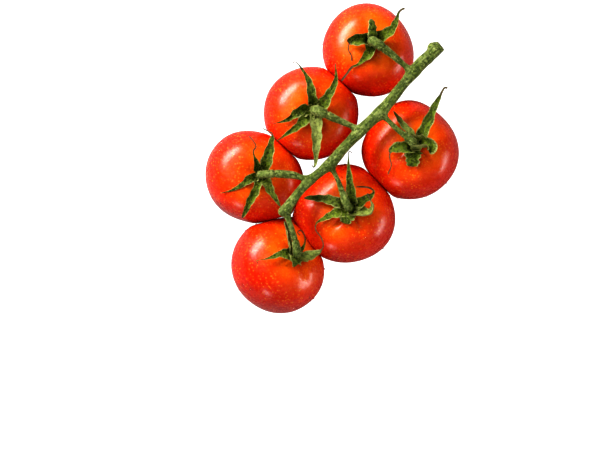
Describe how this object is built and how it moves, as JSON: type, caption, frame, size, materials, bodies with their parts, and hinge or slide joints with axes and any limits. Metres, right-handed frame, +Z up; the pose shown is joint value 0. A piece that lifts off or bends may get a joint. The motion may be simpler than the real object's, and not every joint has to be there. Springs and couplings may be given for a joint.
{
  "type": "truss of tomatoes",
  "caption": "Vine of ripe red cocktail tomatoes in two staggered rows on a green hairy stem with curled sepals, lying on a table with the stem on top.",
  "frame": {"origin": "bottom centre of the bounding box, on the table that the fruits rest on", "axes": "+Z up from the table to the calyxes and the stem, +Y along the stem from its tip to its cut end"},
  "size_m": [0.078, 0.1272, 0.0411],
  "materials": {
    "skin": "smooth glossy ripe tomato skin, orange-red with fine golden speckles",
    "stem": "dull mid-green stem with a down of short pale hairs",
    "sepal": "dull dark green leaf with pale mottling and brown dry tips"
  },
  "bodies": {
    "root": {"rachis": "stem", "tomato_1": "skin", "pedicel_1": "stem", "calyx_disc_1": "sepal", "sepal_1a": "sepal", "sepal_1b": "sepal", "sepal_1c": "sepal", "sepal_1d": "sepal", "sepal_1e": "sepal", "tomato_2": "skin", "pedicel_2": "stem", "calyx_disc_2": "sepal", "sepal_2a": "sepal", "sepal_2b": "sepal", "sepal_2c": "sepal", "sepal_2d": "sepal", "sepal_2e": "sepal", "tomato_3": "skin", "pedicel_3": "stem", "calyx_disc_3": "sepal", "sepal_3a": "sepal", "sepal_3b": "sepal", "sepal_3c": "sepal", "sepal_3d": "sepal", "sepal_3e": "sepal", "tomato_4": "skin", "pedicel_4": "stem", "calyx_disc_4": "sepal", "sepal_4a": "sepal", "sepal_4b": "sepal", "sepal_4c": "sepal", "sepal_4d": "sepal", "sepal_4e": "sepal", "tomato_5": "skin", "pedicel_5": "stem", "calyx_disc_5": "sepal", "sepal_5a": "sepal", "sepal_5b": "sepal", "sepal_5c": "sepal", "sepal_5d": "sepal", "sepal_5e": "sepal", "sepal_5f": "sepal", "tomato_6": "skin", "pedicel_6": "stem", "calyx_disc_6": "sepal", "sepal_6a": "sepal", "sepal_6b": "sepal", "sepal_6c": "sepal", "sepal_6d": "sepal", "sepal_6e": "sepal"}
  },
  "joints": []
}
